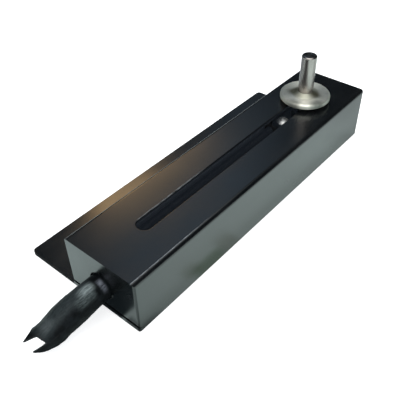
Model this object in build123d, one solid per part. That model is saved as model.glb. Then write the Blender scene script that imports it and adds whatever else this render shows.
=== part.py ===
from build123d import *
from math import cos, radians, sin, sqrt, tan
import os

# A slide potentiometer with a metal housing and a turned drive pin.
# Millimetres. +X runs along the travel, away from the lead, +Y runs toward the flange, +Z is up.
# The origin is the middle of the mounting face, under the base plate.

# Housing
travel = 61.0
case_width = 20.3
case_height = 14.4
flange_width = 14.6
plate_thickness = 1.0
plate_corner_radius = 1.0
sheet = 0.8
bend_radius = 1.0
cover_corner_radius = 0.5
inner_bend_radius = 0.2
slot_edge_radius = 0.2
flange_hole_diameter = 3.4
flange_hole_spacing = 60.0

# Fits
flat_gap = 0.1
loose_gap = 0.2
cable_gap = 0.15
end_gap = 0.35
running_gap = 0.04
seat_gap = 0.02

# Base screws, their clinch nuts and the cover's lips
screw_diameter = 2.0
screw_head_diameter = 3.8
screw_head_height = 0.9
screw_slot_width = 0.4
screw_slot_depth = 0.35
screw_spacing_y = 12.0
nut_diameter = 3.0
nut_height = 1.4
lip_side_gap = 0.6

# Carriage and driver plate
carriage_length = 15.4
carriage_height = 3.8
carriage_lift = 0.6
boss_width = 3.4
boss_corner_radius = 0.8
boss_below_rod = 2.0
web_thickness = 2.8
driver_width = 10.0
driver_thickness = 1.0
driver_corner_radius = 0.6
driver_screw_inset = 2.2
driver_screw_offset = 2.8
driver_screw_diameter = 2.0
driver_screw_length = 3.0
driver_screw_head_diameter = 3.6
driver_screw_head_height = 1.1

# Guide rods, their rings and the rubber stops
rod_diameter = 2.0
rod_overhang = 1.3
groove_diameter = 1.5
ring_diameter = 4.0
ring_thickness = 0.5
ring_mouth = 1.3
bumper_thickness = 1.6
stop_gap = 0.2

# Mechanism frame
frame_side_gap = 0.8
frame_above_rod = 2.8
frame_bend_radius = 0.8
frame_relief = 0.4
notch_width = 6.0
notch_below_lead = 1.2
tab_length = 4.0
tab_reach = 1.0
tab_spacing = 30.0
rivet_diameter = 1.6
rivet_head_diameter = 2.6
rivet_head_height = 0.6
rivet_head_chamfer = 0.25
rivet_spacing = 50.0

# Resistance board
board_thickness = 1.2
board_corner = 1.0
track_width = 2.0
track_thickness = 0.1
track_pitch = 5.0
track_inset = 5.0
trace_width = 0.7
trace_stub = 1.2
trace_turn = 1.6
return_trace_inset = 1.9
terminal_pitch = 1.5
terminal_width = 0.5
terminal_inset = 0.75
terminal_base_width = 1.1
terminal_base_height = 0.5
solder_radius = 0.6
solder_top_radius = 0.35

# Drive pin
pin_diameter = 4.0
pin_length = 10.9
pin_tip_radius = 0.4
disc_diameter = 13.3
disc_thickness = 1.4
disc_edge_radius = 0.6
disc_chamfer = 0.2
disc_lift = 0.9
hub_diameter = 7.0
hub_height = 0.7
shank_diameter = 3.0
slot_side_gap = 0.35
slot_end_gap = 1.5
lock_nut_flats = 5.5
lock_nut_height = 1.8
lock_nut_chamfer = 0.3
insert_wall = 0.6
insert_flange_reach = 0.4
insert_flange_height = 0.5

# Wiper
wiper_thickness = 0.2
wiper_base_ahead = 5.8
wiper_base_behind = 1.6
wiper_reach = 6.6
wiper_toe = 0.7
wiper_toe_rise = 0.3
wiper_lift = 0.1
wiper_side_gap = 0.35
finger_width = 0.75
finger_slit = 0.2
peg_diameter = 0.9
peg_head_diameter = 1.5
peg_head_height = 0.3
peg_spacing = 4.4
peg_offset = 3.2

# Lead. The route's points are distances from where its middle line leaves the housing.
lead_height = 7.0
sleeve_diameter = 6.4
sleeve_wall = 0.6
clamp_wall = 1.1
clamp_length = 1.5
wire_diameter = 0.9
conductor_diameter = 0.4
wire_bared = 0.9
wire_setback = 5.5
tear_azimuth = 41.0
tear_elevation = 41.5
sleeve_route = [
    (2.6, 0.0, 0.0),
    (-3.0, 0.0, 0.0),
    (-8.85, 0.4, -0.95),
    (-14.65, 0.4, -2.9),
    (-18.15, 1.75, -3.3),
]

# What is torn out of the sleeve's end between two pointed tails, as distances along and across it
tear_outline = [
    (-3.6, -0.6),
    (-2.35, 1.7),
    (-1.05, 1.9),
    (0.15, 1.55),
    (-1.7, 4.0),
    (2.0, 4.0),
    (2.0, -4.0),
    (-4.2, -4.0),
    (-4.0, -3.0),
    (-0.65, -0.75),
    (-2.3, -0.65),
]

# Values worked out along the housing from the sizes above
frame_inner_length = travel + carriage_length + 2 * (bumper_thickness + stop_gap)
frame_length = frame_inner_length + 2 * sheet
lip_length = nut_diameter + 2 * flat_gap
inner_length = frame_length + 2 * (lip_length + end_gap)
case_length = inner_length + 2 * sheet
case_end = -case_length / 2
screw_spacing_x = inner_length - lip_length
rest_x = travel / 2
slot_length = travel + shank_diameter + 2 * slot_end_gap
board_length = frame_inner_length - 2 * loose_gap
terminal_x = -board_length / 2 + terminal_inset
pin_face_x = terminal_x - terminal_width / 2
terminal_hole_diameter = terminal_width * sqrt(2) + 2 * seat_gap
wire_start = pin_face_x - wire_bared
track_start = -board_length / 2 + track_inset

# Values worked out across the housing
mid_y = -flange_width / 2
plate_width = case_width + flange_width
flange_y = (plate_width - flange_width) / 2
inner_width = case_width - 2 * sheet
slot_width = shank_diameter + 2 * slot_side_gap
frame_width = inner_width - 2 * frame_side_gap
board_width = frame_width - 2 * sheet - 2 * flat_gap
finger_pair_width = 2 * finger_width + finger_slit
wiper_width = track_pitch + finger_pair_width
rod_spacing = wiper_width + 2 * wiper_side_gap + boss_width
carriage_width = rod_spacing + boss_width
insert_diameter = shank_diameter + 2 * insert_wall
insert_flange_diameter = insert_diameter + 2 * insert_flange_reach

# Heights worked out upward from the mounting face
floor = plate_thickness
ceiling = case_height - sheet
board_bottom = floor + sheet
board_top = board_bottom + board_thickness
track_top = board_top + track_thickness
frame_side_top = board_top + sheet
carriage_bottom = frame_side_top + carriage_lift
carriage_top = carriage_bottom + carriage_height
web_bottom = carriage_top - web_thickness
rod_height = carriage_bottom + boss_below_rod
frame_top = rod_height + frame_above_rod
driver_top = carriage_top + driver_thickness
disc_bottom = case_height + disc_lift
disc_top = disc_bottom + disc_thickness
pin_top = disc_top + pin_length


def rod_positions():
    return [mid_y - rod_spacing / 2, mid_y + rod_spacing / 2]


def screw_positions():
    return [
        (side * screw_spacing_x / 2, mid_y + row * screw_spacing_y / 2)
        for side in (-1, 1)
        for row in (-1, 1)
    ]


def rivet_positions():
    return [(side * rivet_spacing / 2, mid_y) for side in (-1, 1)]


def terminal_positions():
    return [(terminal_x, mid_y + step * terminal_pitch) for step in (-1, 0, 1)]


def block(length, width, bottom, top, x=0.0, y=mid_y):
    """A box centred on x, y that stands from one height to another."""
    return Pos(x, y, (bottom + top) / 2) * Box(length, width, top - bottom)


def post(diameter, bottom, top, x=0.0, y=mid_y):
    """An upright cylinder from one height to another."""
    return Pos(x, y, (bottom + top) / 2) * Cylinder(diameter / 2, top - bottom)


def bar(diameter, start, end, y, z):
    """A cylinder along X from one place to another."""
    return Pos((start + end) / 2, y, z) * Rot(0, 90, 0) * Cylinder(diameter / 2, end - start)


def upright_plate(sketch, bottom, height):
    """A sketch in the XY plane raised from one height."""
    return extrude(Pos(0, 0, bottom) * sketch, amount=height)


def turned(points):
    """A solid turned about Z from a half profile of (radius, height) points."""
    profile = make_face(Polyline([(r, 0, z) for r, z in points], close=True))
    return revolve(profile, axis=Axis.Z)


def countersink(diameter, head_diameter, head_height, depth):
    """The solid of a flat-headed screw or rivet, head down, with its face at height 0."""
    r, head_r = diameter / 2, head_diameter / 2
    return turned([(0, 0), (head_r, 0), (r, head_height), (r, depth), (0, depth)])


def base_plate():
    """The flat plate that carries the housing and stands out on one side as a flange."""
    plate = block(case_length, plate_width, 0, plate_thickness, 0, 0)
    corners = plate.edges().filter_by(Axis.Z).group_by(Axis.Y)
    plate = fillet(corners[-1], plate_corner_radius)
    corners = plate.edges().filter_by(Axis.Z).group_by(Axis.Y)
    plate = fillet(corners[0], cover_corner_radius)
    for side in (-1, 1):
        x = side * flange_hole_spacing / 2
        plate -= post(flange_hole_diameter, -1, plate_thickness + 1, x, flange_y)
    screw_hole = countersink(
        screw_diameter + loose_gap,
        screw_head_diameter + loose_gap,
        screw_head_height,
        plate_thickness + 1,
    )
    for x, y in screw_positions():
        plate -= Pos(x, y, 0) * screw_hole
    rivet_hole = countersink(
        rivet_diameter + 2 * seat_gap,
        rivet_head_diameter + 2 * seat_gap,
        plate_thickness - flat_gap,
        plate_thickness + 1,
    )
    for x, y in rivet_positions():
        plate -= Pos(x, y, 0) * rivet_hole
    return plate


def base_screws():
    """Four flat-headed screws, driven up from under the base plate."""
    length = plate_thickness + sheet + nut_height
    screw = countersink(screw_diameter, screw_head_diameter, screw_head_height, length)
    screw -= Box(screw_head_diameter + 1, screw_slot_width, 2 * screw_slot_depth)
    return [Pos(x, y, 0) * screw for x, y in screw_positions()]


def clinch_nuts():
    """Four round nuts pressed on the cover's lips."""
    bottom = floor + sheet
    nut = post(nut_diameter, bottom, bottom + nut_height, 0, 0)
    nut -= post(screw_diameter + 2 * seat_gap, 0, case_height, 0, 0)
    return [Pos(x, y, 0) * nut for x, y in screw_positions()]


def bent_shell(length, width, bottom, top, bend_radius, corner_radius):
    """A block with rounded long top edges and rounded upright corners."""
    side_view = block(length, width, bottom, top)
    side_view = fillet(side_view.edges().filter_by(Axis.X).group_by(Axis.Z)[-1], bend_radius)
    plan = block(length, width, bottom, top)
    plan = fillet(plan.edges().filter_by(Axis.Z), corner_radius)
    return side_view & plan


def lip(side):
    """The foot of one end wall: it turns inward round the wall's bottom edge."""
    length = lip_length + sheet
    width = inner_width - 2 * lip_side_gap
    return block(length, width, floor, floor + sheet, side * (case_length - length) / 2)


def foot_relief(side):
    """The solid outside the bend at the foot of one end wall."""
    edge = side * case_length / 2
    corner = block(2 * bend_radius, case_width + 1, floor - bend_radius, floor + bend_radius, edge)
    middle = Pos(edge - side * bend_radius, mid_y, floor + bend_radius)
    return corner - middle * Rot(90, 0, 0) * Cylinder(bend_radius, case_width + 2)


def cover():
    """The folded sheet cover with the slot, the lead's hole and a lip at the foot of each end."""
    outside = bent_shell(
        case_length, case_width, floor, case_height, bend_radius, cover_corner_radius
    )
    inside = bent_shell(
        inner_length, inner_width, floor - 1, ceiling, inner_bend_radius, inner_bend_radius
    )
    body = outside - inside
    for side in (-1, 1):
        body = body + lip(side) - foot_relief(side)
    for x, y in screw_positions():
        body -= post(screw_diameter + loose_gap, 0, floor + sheet + flat_gap, x, y)
    slot = Pos(0, mid_y, 0) * SlotOverall(slot_length, slot_width)
    body -= upright_plate(slot, ceiling - 1, sheet + 2)
    top_face = body.faces().sort_by(Axis.Z)[-1]
    body = fillet(top_face.inner_wires()[0].edges(), slot_edge_radius)
    hole = sleeve_diameter + 2 * cable_gap
    return body - bar(hole, case_end - 1, case_end + sheet + 1, mid_y, lead_height)


def mechanism_frame():
    """The folded tray inside the housing: its ends hold the rods and its tabs hold the board."""
    frame = block(frame_length, frame_width, floor, frame_top)
    frame = fillet(frame.edges().group_by(Axis.Z)[0], frame_bend_radius)
    frame -= block(frame_inner_length, frame_width - 2 * sheet, board_bottom, frame_top + 1)
    frame -= block(frame_inner_length, frame_width + 1, frame_side_top, frame_top + 1)
    corner_x = (frame_inner_length - frame_relief) / 2
    corner_y = (frame_width - sheet) / 2
    tab_y = frame_width / 2 - sheet - tab_reach / 2 + flat_gap
    for side in (-1, 1):
        for end in (-1, 1):
            frame -= block(
                frame_relief, sheet + 2 * flat_gap, floor - 1, frame_top + 1,
                end * corner_x, mid_y + side * corner_y,
            )
        for step in (-1, 0, 1):
            frame += block(
                tab_length, tab_reach + 2 * flat_gap, board_top, frame_side_top,
                step * tab_spacing, mid_y + side * tab_y,
            )
    frame -= block(
        4 * sheet, notch_width, lead_height - notch_below_lead, frame_top + 1, -frame_length / 2
    )
    for y in rod_positions():
        frame -= bar(rod_diameter + 2 * seat_gap, -case_length / 2, case_length / 2, y, rod_height)
    for x, y in rivet_positions():
        frame -= post(rivet_diameter + 2 * seat_gap, 0, board_bottom + 1, x, y)
    return frame


def frame_rivets():
    """Two rivets that hold the tray to the base plate, flush underneath."""
    rivet = countersink(
        rivet_diameter, rivet_head_diameter, plate_thickness - flat_gap, board_bottom
    )
    rivet += post(rivet_head_diameter, board_bottom, board_bottom + rivet_head_height, 0, 0)
    rivet = chamfer(rivet.edges().group_by(Axis.Z)[-1], rivet_head_chamfer)
    return [Pos(x, y, 0) * rivet for x, y in rivet_positions()]


def ring_places():
    """The inner face of each retaining ring, as (side, X) pairs."""
    face = frame_length / 2 + flat_gap
    return [(-1, -face), (1, face)]


def guide_rod(y):
    """One ground rod with a ring groove near each end."""
    half = frame_length / 2 + rod_overhang
    rod = bar(rod_diameter, -half, half, y, rod_height)
    for side, face in ring_places():
        start = face - side * seat_gap
        end = face + side * (ring_thickness + seat_gap)
        low, high = min(start, end), max(start, end)
        groove = bar(rod_diameter + 1, low, high, y, rod_height)
        groove -= bar(groove_diameter, low - 1, high + 1, y, rod_height)
        rod -= groove
    return rod


def rod_retaining_rings():
    """Four open rings that snap in the rods' grooves."""
    rings = []
    bore = groove_diameter + 2 * seat_gap
    for y in rod_positions():
        for side, face in ring_places():
            end = face + side * ring_thickness
            low, high = min(face, end), max(face, end)
            ring = bar(ring_diameter, low, high, y, rod_height)
            ring -= bar(bore, low - 1, high + 1, y, rod_height)
            ring -= block(2, ring_mouth, rod_height, rod_height + ring_diameter, face, y)
            rings.append(ring)
    return rings


def rod_bumpers():
    """Four rubber rings that stop the carriage at the ends of its travel."""
    bumpers = []
    for y in rod_positions():
        for side in (-1, 1):
            end = side * frame_inner_length / 2
            start = end - side * bumper_thickness
            low, high = min(start, end), max(start, end)
            bumper = bar(boss_width, low, high, y, rod_height)
            bumper -= bar(rod_diameter + 2 * seat_gap, low - 1, high + 1, y, rod_height)
            bumpers.append(bumper)
    return bumpers


def resistance_board():
    """The laminate board that carries the tracks, with holes for the rivets and terminals."""
    board = block(board_length, board_width, board_bottom, board_top)
    board = chamfer(board.edges().filter_by(Axis.Z), board_corner)
    for x, y in rivet_positions():
        board -= post(rivet_head_diameter + loose_gap, 0, case_height, x, y)
    for x, y in terminal_positions():
        board -= post(terminal_hole_diameter, 0, case_height, x, y)
    return board


def track(offset):
    """One straight track on the board, at an offset across it."""
    length = -2 * track_start
    return block(length, track_width, board_top, track_top, 0, mid_y + offset)


def contact_traces():
    """Silver traces that join the three terminals to the ends of the tracks."""
    near, far = track_start, -track_start
    resistive_y, collector_y = mid_y - track_pitch / 2, mid_y + track_pitch / 2
    return_y = mid_y + board_width / 2 - return_trace_inset
    ends = [
        [(near - trace_stub, resistive_y), (near, resistive_y)],
        [(near - trace_stub, collector_y), (near, collector_y)],
        [
            (near - trace_stub, return_y), (far + trace_turn, return_y),
            (far + trace_turn, resistive_y), (far, resistive_y),
        ],
    ]
    traces = []
    for (x, y), end in zip(terminal_positions(), ends):
        line = Polyline([(x, y), (x + trace_stub, y), *end])
        piece = upright_plate(trace(line, line_width=trace_width), board_top, track_thickness)
        piece -= track(-track_pitch / 2)
        piece -= track(track_pitch / 2)
        piece -= post(terminal_hole_diameter, 0, case_height, x, y)
        traces.append(piece)
    return traces


def terminal_pins():
    """Three square pins through the board, each with a foot on its trace."""
    top = lead_height + wire_diameter / 2
    pins = []
    for x, y in terminal_positions():
        pin = block(terminal_width, terminal_width, board_bottom + flat_gap, top, x, y)
        pin += block(
            terminal_base_width, terminal_base_width, track_top,
            track_top + terminal_base_height, x, y,
        )
        pins.append(pin)
    return pins


def route_points(start_x, shift=0.0):
    """The lead's route from a place inside the housing, moved sideways by a shift."""
    points = [(start_x, mid_y + shift, lead_height)]
    for x, y, z in sleeve_route[1:]:
        points.append((case_end + x, mid_y + y + shift, lead_height + z))
    return points


def lead_wire(step):
    """One insulated wire of the lead, bared where it meets its pin."""
    shift = step * terminal_pitch
    points = route_points(wire_start, shift)
    wire = tube_along(points, Circle(wire_diameter / 2))
    end, run = route_end(points)
    cut = Plane(origin=end - run * wire_setback, z_dir=run)
    wire = split(wire, bisect_by=cut, keep=Keep.BOTTOM)
    bared_start = wire_start - flat_gap
    return wire + bar(conductor_diameter, bared_start, pin_face_x, mid_y + shift, lead_height)


def solder_joints():
    """Three drops of solder where the wires meet their pins."""
    r, top_r = solder_radius, solder_top_radius
    drop = turned([(0, -r), (top_r, -r), (r, -top_r), (r, top_r), (top_r, r), (0, r)])
    joints = []
    for x, y in terminal_positions():
        joint = Pos(x, y, lead_height) * drop
        joint -= block(terminal_width, terminal_width, 0, case_height, x, y)
        joint -= bar(conductor_diameter, wire_start, x, y, lead_height)
        joints.append(joint)
    return joints


def corner_radii(points):
    """The bend radius at each corner of a route: as large as its two runs allow."""
    corners = [Vector(*point) for point in points]
    radii = []
    for before, corner, after in zip(corners, corners[1:], corners[2:]):
        half_turn = radians((corner - before).get_angle(after - corner)) / 2
        shorter = min((corner - before).length, (after - corner).length)
        radii.append(0.45 * shorter / tan(half_turn))
    return radii


def tube_along(points, section):
    """A section swept along a route of straight runs joined by tangent arcs."""
    path = FilletPolyline(*points, radius=corner_radii(points))
    start = Plane(origin=path @ 0, z_dir=path % 0)
    return sweep(start * section, path=path)


def route_end(points):
    """The last point of a route and the direction of its last run."""
    end, before = Vector(*points[-1]), Vector(*points[-2])
    return end, (end - before).normalized()


def tear():
    """The solid of what is torn out of the sleeve's end, between two pointed tails."""
    end, run = route_end(sleeve_points())
    azimuth, elevation = radians(tear_azimuth), radians(tear_elevation)
    through = Vector(
        cos(azimuth) * cos(elevation), sin(azimuth) * cos(elevation), -sin(elevation)
    )
    along = run - through * run.dot(through)
    plane = Plane(origin=end, x_dir=along, z_dir=through)
    profile = plane * Polygon(*tear_outline, align=None)
    return extrude(profile, amount=2 * sleeve_diameter, both=True)


def sleeve_points():
    return route_points(case_end + sleeve_route[0][0])


def cable_sleeve():
    """The lead's outer sleeve: a short bent tube that ends in a tear."""
    radius = sleeve_diameter / 2
    tube = tube_along(sleeve_points(), Circle(radius) - Circle(radius - sleeve_wall))
    return tube - tear()


def sleeve_clamp():
    """The crimped ring on the sleeve, just inside the cover's end."""
    start, end = -inner_length / 2, -inner_length / 2 + clamp_length
    bore = sleeve_diameter + 2 * seat_gap
    ring = bar(bore + 2 * clamp_wall, start, end, mid_y, lead_height)
    return ring - bar(bore, start - 1, end + 1, mid_y, lead_height)


def carriage():
    """The moulded carriage: two bored bosses on the rods and a web between them."""
    body = block(carriage_length, carriage_width, carriage_bottom, carriage_top, rest_x)
    body = fillet(body.edges().filter_by(Axis.X).group_by(Axis.Z)[0], boss_corner_radius)
    recess_width = carriage_width - 2 * boss_width
    body -= block(carriage_length + 1, recess_width, carriage_bottom - 1, web_bottom, rest_x)
    half = carriage_length / 2
    for y in rod_positions():
        bore = rod_diameter + 2 * running_gap
        body -= bar(bore, rest_x - half - 1, rest_x + half + 1, y, rod_height)
    body -= post(insert_diameter, web_bottom - 1, carriage_top + 1, rest_x)
    flange_bottom = carriage_top - insert_flange_height
    body -= post(insert_flange_diameter, flange_bottom, carriage_top + 1, rest_x)
    for x, y in driver_screw_places():
        bottom = driver_top - driver_screw_length - flat_gap
        body -= post(driver_screw_diameter, bottom, carriage_top + 1, x, y)
    for x, y in peg_positions():
        body += wiper_peg(x, y)
    return body


def driver_screw_places():
    reach = carriage_length / 2 - driver_screw_inset
    return [(rest_x - side * reach, mid_y + side * driver_screw_offset) for side in (1, -1)]


def peg_positions():
    return [(rest_x + peg_offset, mid_y + side * peg_spacing / 2) for side in (-1, 1)]


def wiper_peg(x, y):
    """A moulded peg, its end melted over the wiper."""
    head_top = web_bottom - wiper_thickness
    peg = post(peg_diameter, head_top - peg_head_height, web_bottom, x, y)
    return peg + post(peg_head_diameter, head_top - peg_head_height, head_top, x, y)


def driver_plate():
    """The plated steel plate on the carriage, seen through the housing's slot."""
    outline = Pos(rest_x, mid_y) * RectangleRounded(
        carriage_length, driver_width, driver_corner_radius
    )
    plate = upright_plate(outline, carriage_top, driver_thickness)
    plate -= post(shank_diameter + loose_gap, 0, case_height, rest_x)
    for x, y in driver_screw_places():
        plate -= post(driver_screw_diameter + loose_gap, 0, case_height, x, y)
    return plate


def plate_screws():
    """Two dome-headed screws, at opposite corners, that hold the driver plate on the carriage."""
    screws = []
    head_r, height = driver_screw_head_diameter / 2, driver_screw_head_height
    dome_r = (head_r**2 + height**2) / (2 * height)
    head_top = driver_top + height
    bottom = driver_top - driver_screw_length
    for x, y in driver_screw_places():
        head = post(driver_screw_head_diameter, driver_top, head_top, x, y)
        head &= Pos(x, y, head_top - dome_r) * Sphere(dome_r)
        shank = post(driver_screw_diameter - 2 * seat_gap, bottom, driver_top, x, y)
        slot = block(
            driver_screw_head_diameter + 1, screw_slot_width,
            head_top - screw_slot_depth, head_top + 1, x, y,
        )
        screws.append(head + shank - slot)
    return screws


def drive_pin():
    """One turned piece: the pin, its flange with a coned hub, and the shank below."""
    r, disc_r, shank_r = pin_diameter / 2, disc_diameter / 2, shank_diameter / 2
    bottom = web_bottom + flat_gap
    pin = turned([
        (0, bottom), (shank_r, bottom), (shank_r, disc_bottom),
        (disc_r - disc_chamfer, disc_bottom), (disc_r, disc_bottom + disc_chamfer),
        (disc_r, disc_top), (hub_diameter / 2, disc_top), (r, disc_top + hub_height),
        (r, pin_top), (0, pin_top),
    ])
    pin = fillet(pin.edges().group_by(Axis.Z)[-1], pin_tip_radius)
    rim = pin.edges().filter_by_position(Axis.Z, disc_top, disc_top).sort_by(SortBy.RADIUS)[-1]
    pin = fillet(rim, disc_edge_radius)
    return Pos(rest_x, mid_y, 0) * pin


def lock_nut():
    """The hexagon nut that locks the drive pin on the driver plate."""
    hexagon = Pos(rest_x, mid_y) * RegularPolygon(lock_nut_flats / 2, 6, major_radius=False)
    nut = upright_plate(hexagon, driver_top, lock_nut_height)
    corner_r = lock_nut_flats / 2 / cos(radians(30))
    rim = post(2 * corner_r, driver_top, driver_top + lock_nut_height, rest_x)
    nut &= chamfer(rim.edges().group_by(Axis.Z)[-1], lock_nut_chamfer)
    return nut - post(shank_diameter + 2 * seat_gap, 0, case_height, rest_x)


def threaded_insert():
    """The brass insert in the carriage's web, with its flange on top."""
    bottom = web_bottom
    flange_bottom = carriage_top - insert_flange_height
    insert = post(insert_diameter - 2 * seat_gap, bottom, carriage_top, rest_x)
    insert += post(insert_flange_diameter - 2 * seat_gap, flange_bottom, carriage_top, rest_x)
    return insert - post(shank_diameter + 2 * seat_gap, 0, case_height, rest_x)


def wiper():
    """The spring-metal wiper: a base on the web and two pairs of fingers on the tracks."""
    half = wiper_thickness / 2
    high, low = web_bottom - half, track_top + wiper_lift + half
    heel_x = rest_x - wiper_base_behind
    toe_x = rest_x - wiper_reach + wiper_toe
    line = Polyline([
        (rest_x + wiper_base_ahead, high), (heel_x, high),
        (toe_x, low), (toe_x - wiper_toe, low + wiper_toe_rise),
    ])
    strip = Plane.XZ * trace(line, line_width=wiper_thickness)
    body = Pos(0, mid_y, 0) * extrude(strip, amount=wiper_width / 2, both=True)
    slit_x = heel_x - wiper_reach
    gap_width = track_pitch - finger_pair_width
    body -= block(2 * wiper_reach - 1, gap_width, 0, case_height, slit_x)
    for side in (-1, 1):
        y = mid_y + side * track_pitch / 2
        body -= block(2 * wiper_reach - 1, finger_slit, 0, case_height, slit_x, y)
    for x, y in peg_positions():
        body -= post(peg_diameter + 2 * seat_gap, 0, case_height, x, y)
    return body


def nodes():
    """Every piece of the potentiometer under its name."""
    left_y, right_y = rod_positions()[1], rod_positions()[0]
    return {
        "base_plate": base_plate(),
        "cover": cover(),
        "clinch_nuts": clinch_nuts(),
        "base_screws": base_screws(),
        "mechanism_frame": mechanism_frame(),
        "frame_rivets": frame_rivets(),
        "left_guide_rod": guide_rod(left_y),
        "right_guide_rod": guide_rod(right_y),
        "rod_retaining_rings": rod_retaining_rings(),
        "rod_bumpers": rod_bumpers(),
        "resistance_board": resistance_board(),
        "resistive_track": track(-track_pitch / 2),
        "collector_track": track(track_pitch / 2),
        "contact_traces": contact_traces(),
        "terminal_pins": terminal_pins(),
        "solder_joints": solder_joints(),
        "start_lead_wire": lead_wire(-1),
        "wiper_lead_wire": lead_wire(0),
        "end_lead_wire": lead_wire(1),
        "sleeve_clamp": sleeve_clamp(),
        "cable_sleeve": cable_sleeve(),
        "carriage": carriage(),
        "threaded_insert": threaded_insert(),
        "driver_plate": driver_plate(),
        "plate_screws": plate_screws(),
        "drive_pin": drive_pin(),
        "lock_nut": lock_nut(),
        "wiper": wiper(),
    }


def solids_of(piece):
    """The solids of one piece, or of a list of pieces that share a node."""
    group = piece if isinstance(piece, list) else [piece]
    return [solid for member in group for solid in member.solids()]


os.makedirs("parts", exist_ok=True)
for name, piece in nodes().items():
    solids = solids_of(piece)
    export_step(solids[0] if len(solids) == 1 else Compound(solids), f"parts/{name}.step")
print("sleeve bend radii", [round(radius, 1) for radius in corner_radii(sleeve_points())])
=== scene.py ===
import bmesh
import bpy
from math import cos, pi, radians, sin
from mathutils import Matrix, Vector


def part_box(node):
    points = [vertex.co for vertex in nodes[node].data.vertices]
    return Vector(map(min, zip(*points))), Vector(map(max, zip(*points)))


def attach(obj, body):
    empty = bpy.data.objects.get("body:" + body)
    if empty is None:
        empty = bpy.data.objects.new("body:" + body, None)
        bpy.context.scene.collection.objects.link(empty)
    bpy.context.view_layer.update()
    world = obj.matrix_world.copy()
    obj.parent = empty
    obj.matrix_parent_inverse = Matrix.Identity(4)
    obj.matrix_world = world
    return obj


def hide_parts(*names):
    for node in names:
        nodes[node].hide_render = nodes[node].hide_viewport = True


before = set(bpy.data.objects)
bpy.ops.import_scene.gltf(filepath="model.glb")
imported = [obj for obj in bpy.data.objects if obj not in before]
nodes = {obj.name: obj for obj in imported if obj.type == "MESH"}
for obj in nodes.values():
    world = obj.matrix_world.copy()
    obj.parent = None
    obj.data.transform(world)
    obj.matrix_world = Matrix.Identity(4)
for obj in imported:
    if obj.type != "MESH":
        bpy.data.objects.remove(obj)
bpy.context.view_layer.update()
mm = 0.001
black = (0, 0, 0, 1)
white = (1, 1, 1, 1)
print("frame loaded:", len(nodes), "nodes")


class Signal:
    # One output socket of a node tree. Python's operators on it add the maths nodes.
    def __init__(self, tree, socket):
        self.tree = tree
        self.socket = socket

    @staticmethod
    def node(tree, kind, settings=None, values=None, output=0):
        # One node of any kind: its settings first, then the values or links of its sockets.
        made = tree.nodes.new(kind)
        for name, value in (settings or {}).items():
            setattr(made, name, value)
        for key, value in (values or {}).items():
            if isinstance(value, Signal):
                tree.links.new(value.socket, made.inputs[key])
            else:
                made.inputs[key].default_value = value
        return None if output is None else Signal(tree, made.outputs[output])

    def maths(self, operation, *numbers):
        values = dict(enumerate(numbers))
        return Signal.node(self.tree, "ShaderNodeMath", {"operation": operation}, values)

    def __add__(self, other):
        return self.maths("ADD", self, other)

    def __sub__(self, other):
        return self.maths("SUBTRACT", self, other)

    def __rsub__(self, other):
        return self.maths("SUBTRACT", other, self)

    def __mul__(self, other):
        return self.maths("MULTIPLY", self, other)

    def __truediv__(self, other):
        return self.maths("DIVIDE", self, other)

    def __gt__(self, other):
        return self.maths("GREATER_THAN", self, other)

    def __lt__(self, other):
        return self.maths("LESS_THAN", self, other)

    def __abs__(self):
        return self.maths("ABSOLUTE", self)

    def orMore(self, other):
        return self.maths("MAXIMUM", self, other)

    def orLess(self, other):
        return self.maths("MINIMUM", self, other)

    def sine(self):
        return self.maths("SINE", self)

    def cosine(self):
        return self.maths("COSINE", self)

    def root(self):
        return self.maths("SQRT", self)

    def rise(self, low, high, fromValue=0.0, toValue=1.0):
        # A smooth step from one value to another, clamped outside.
        settings = {"interpolation_type": "SMOOTHSTEP"}
        values = {0: self, 1: low, 2: high, 3: fromValue, 4: toValue}
        return Signal.node(self.tree, "ShaderNodeMapRange", settings, values)

    def ramp(self, low, high, fromValue=0.0, toValue=1.0):
        # A straight run from one value to another, clamped outside.
        values = {0: self, 1: low, 2: high, 3: fromValue, 4: toValue}
        return Signal.node(self.tree, "ShaderNodeMapRange", {}, values)

    def band(self, start, full, fading, end):
        # Rises softly from 0 to 1 over the first two numbers and falls over the last two.
        return self.rise(start, full) * self.rise(fading, end, 1.0, 0.0)

    def blend(self, first, second):
        # A colour between two, with this signal as the second one's share.
        settings = {"data_type": "RGBA"}
        return Signal.node(self.tree, "ShaderNodeMix", settings, {0: self, 6: first, 7: second}, 2)

    def vector(self, operation, other=None, output=0):
        values = {0: self} if other is None else {0: self, 1: other}
        return Signal.node(self.tree, "ShaderNodeVectorMath", {"operation": operation}, values, output)

    def scaled(self, factor):
        values = {0: self, 3: factor}
        return Signal.node(self.tree, "ShaderNodeVectorMath", {"operation": "SCALE"}, values)

    def parts(self):
        return [Signal.node(self.tree, "ShaderNodeSeparateXYZ", {}, {0: self}, i) for i in range(3)]

    def along(self, points):
        # A curve through given pairs, looked up at this number.
        low, high = points[0][0], points[-1][0]
        bottom = min(value for place, value in points)
        top = max(value for place, value in points)
        found = Signal.node(self.tree, "ShaderNodeFloatCurve", {}, {"Value": self.ramp(low, high)})
        mapping = found.socket.node.mapping
        line = mapping.curves[0].points
        while len(line) < len(points):
            line.new(0.5, 0.5)
        for point, (place, value) in zip(line, points):
            point.location = ((place - low) / (high - low), (value - bottom) / (top - bottom))
            point.handle_type = "VECTOR"
        mapping.update()
        return found * (top - bottom) + bottom

    def noise(self, size, detail=2.0, roughness=0.5):
        # Noise over this vector. The size is that of its cells along each direction.
        squeezed = self.vector("DIVIDE", size)
        values = {"Vector": squeezed, "Scale": 1.0, "Detail": detail, "Roughness": roughness}
        return Signal.node(self.tree, "ShaderNodeTexNoise", {}, values)


def link(thing):
    bpy.context.scene.collection.objects.link(thing)
    return thing


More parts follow.
